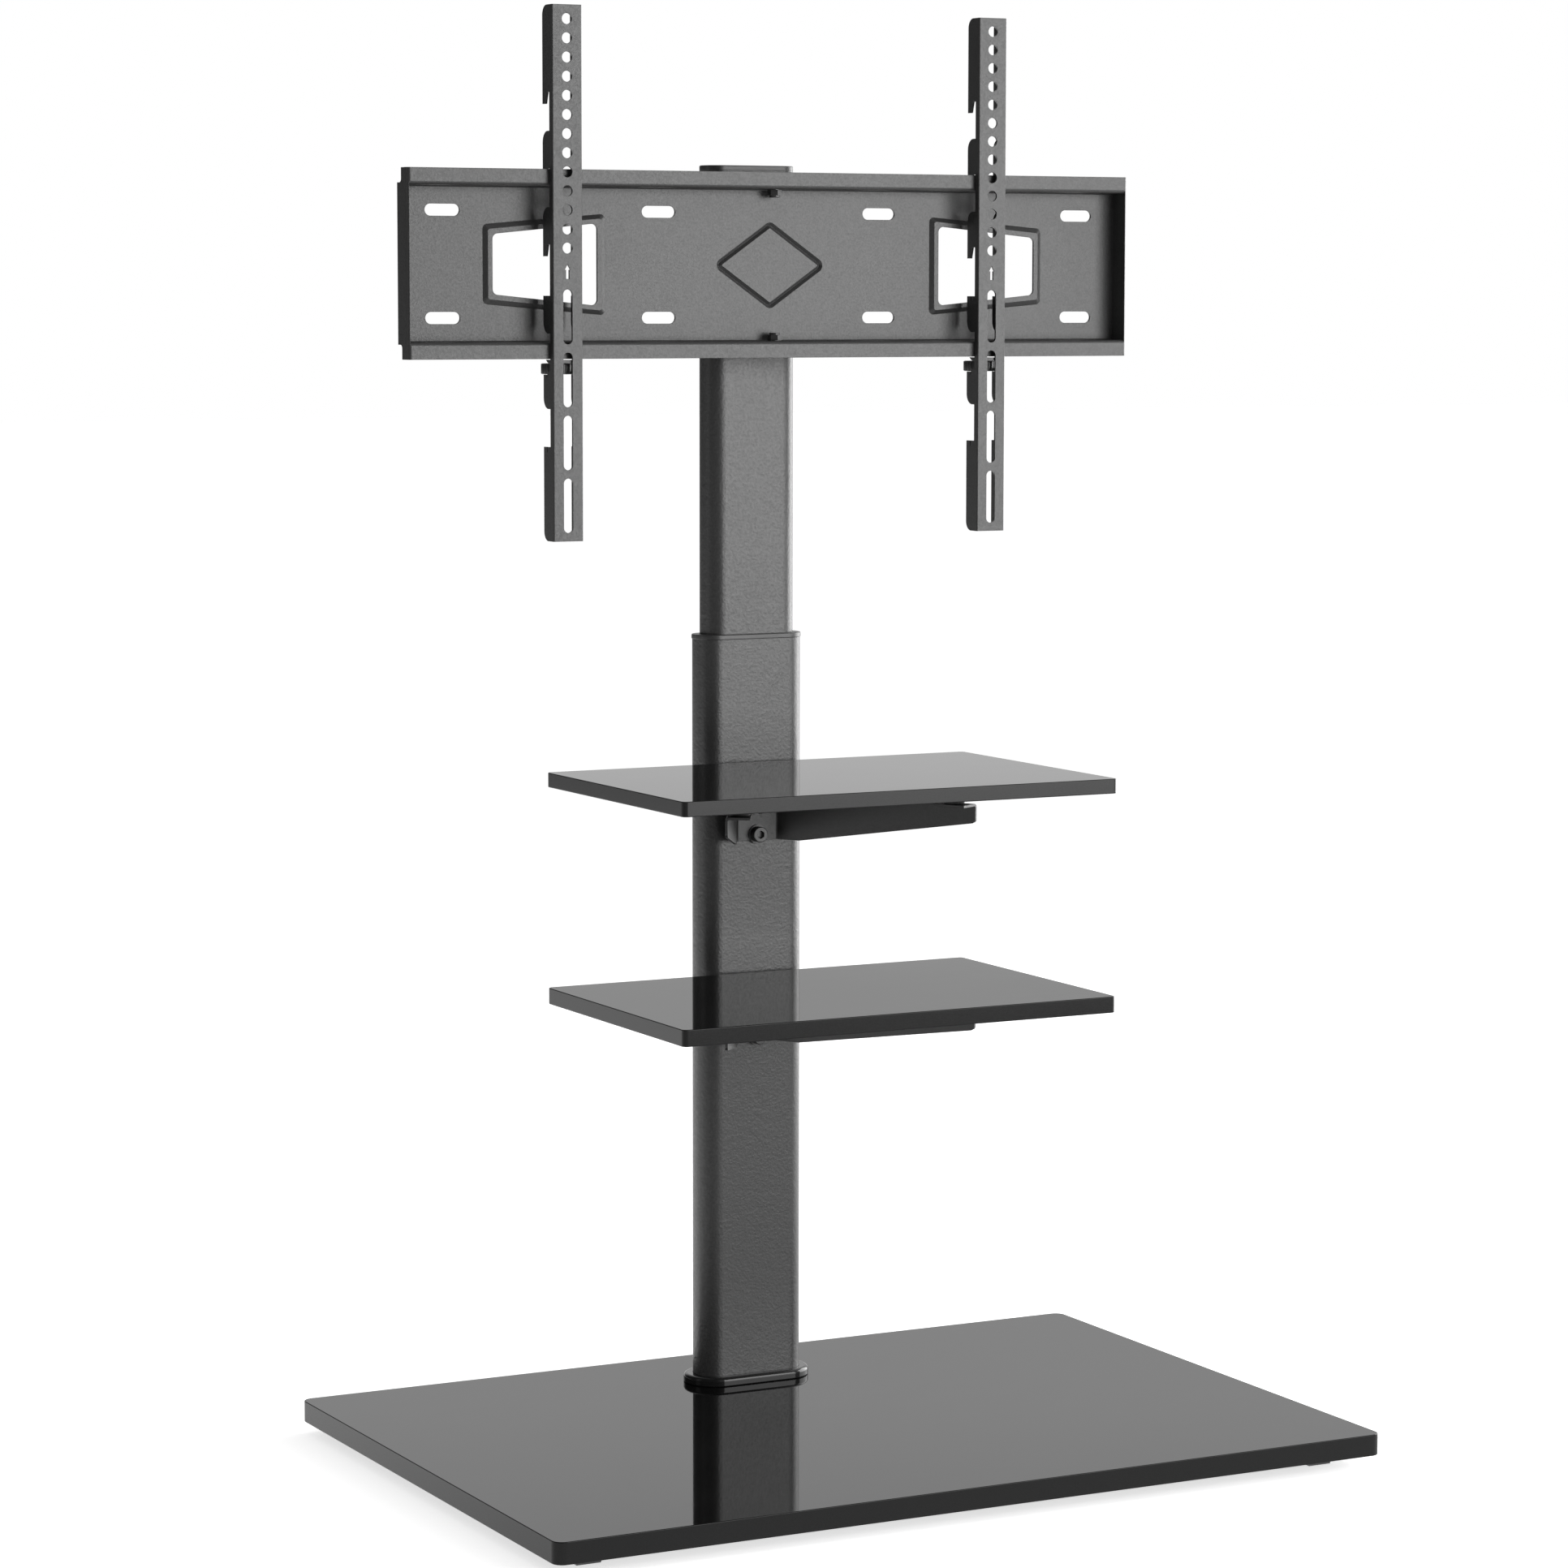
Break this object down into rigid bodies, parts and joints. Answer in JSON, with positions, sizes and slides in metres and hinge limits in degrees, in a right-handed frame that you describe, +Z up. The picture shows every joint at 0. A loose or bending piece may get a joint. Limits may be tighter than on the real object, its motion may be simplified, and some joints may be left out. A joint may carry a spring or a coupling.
{
  "type": "television stand",
  "caption": "Free-standing television stand with a board base, a telescoping column, shelves and a swivelling hooked mount.",
  "frame": {"origin": "on the floor under the middle of the base board", "axes": "+Z up, the screen side faces -Y, +X to the right seen from the front"},
  "size_m": [0.73, 0.507, 1.1662],
  "materials": {
    "board": "black high-gloss top on a board with matt cut edges",
    "plastic": "black moulded plastic, satin",
    "glide_plastic": "natural nylon",
    "gloss_trim": "black gloss",
    "zinc_steel": "zinc plated",
    "black_steel": "black oxide",
    "raw_steel": "black primer",
    "tube_paint": "fine black powder coat, satin",
    "bracket_paint": "fine black powder coat, matt",
    "mount_paint": "grained black powder coat, satin",
    "pad_rubber": "black rubber"
  },
  "bodies": {
    "stand": {"base_board": "board", "base_bolts": "black_steel", "base_feet": "plastic", "base_stiffener": "raw_steel", "bracket_bolts": "black_steel", "bracket_rivet_nuts": "zinc_steel", "bracket_washers": "black_steel", "clamp_bolts": "black_steel", "clamp_nut_bar": "zinc_steel", "column_bushing": "plastic", "column_end_plate": "raw_steel", "foot_collar": "gloss_trim", "foot_screws": "zinc_steel", "outer_column": "tube_paint", "shelf_bracket_lower": "bracket_paint", "shelf_bracket_upper": "bracket_paint", "shelf_lower": "board", "shelf_pads": "pad_rubber", "shelf_screws": "zinc_steel", "shelf_upper": "board"},
    "upper_column": {"inner_column": "tube_paint", "inner_glide": "glide_plastic", "column_cap": "plastic", "head_bracket": "bracket_paint", "head_screws": "black_steel", "head_rivet_nuts": "zinc_steel", "pivot_bolts": "zinc_steel", "pivot_nuts": "black_steel", "pivot_washers": "zinc_steel"},
    "plate": {"tv_plate": "mount_paint"},
    "left_arm": {"arm_left": "mount_paint", "lock_bridge_left": "mount_paint"},
    "right_arm": {"arm_right": "mount_paint", "lock_bridge_right": "mount_paint"},
    "left_wheel": {"lock_wheel_left": "plastic"},
    "right_wheel": {"lock_wheel_right": "plastic"},
    "left_pin": {"lock_pin_left": "zinc_steel"},
    "right_pin": {"lock_pin_right": "zinc_steel"}
  },
  "joints": [
    {"name": "height_slide", "type": "slide", "parent": "stand", "child": "upper_column", "axis": [0, 0, 1], "range_m": [-0.1, 0.05]},
    {"name": "plate_swivel", "type": "hinge", "parent": "upper_column", "child": "plate", "pos_m": [0, 0.1069, 0.9623], "axis": [0, 0, 1], "range_deg": [-30, 30]},
    {"name": "arm_left_slide", "type": "slide", "parent": "plate", "child": "left_arm", "axis": [1, 0, 0], "range_m": [-0.106, 0.094]},
    {"name": "arm_right_slide", "type": "slide", "parent": "plate", "child": "right_arm", "axis": [1, 0, 0], "range_m": [-0.094, 0.106]},
    {"name": "lock_wheel_left_turn", "type": "hinge", "parent": "left_arm", "child": "left_wheel", "pos_m": [-0.194, 0.10856, 0.879], "axis": [0, 0, 1], "range_deg": [0, 2880]},
    {"name": "lock_pin_left_slide", "type": "slide", "parent": "left_arm", "child": "left_pin", "axis": [0, 0, 1], "range_m": [-0.008, 0]},
    {"name": "lock_wheel_right_turn", "type": "hinge", "parent": "right_arm", "child": "right_wheel", "pos_m": [0.194, 0.10856, 0.879], "axis": [0, 0, 1], "range_deg": [0, 2880]},
    {"name": "lock_pin_right_slide", "type": "slide", "parent": "right_arm", "child": "right_pin", "axis": [0, 0, 1], "range_m": [-0.008, 0]}
  ],
  "couplings": [
    {"joint": "lock_pin_left_slide", "follows": "lock_wheel_left_turn", "m_per_rad": -0.00015915},
    {"joint": "lock_pin_right_slide", "follows": "lock_wheel_right_turn", "m_per_rad": -0.00015915}
  ]
}
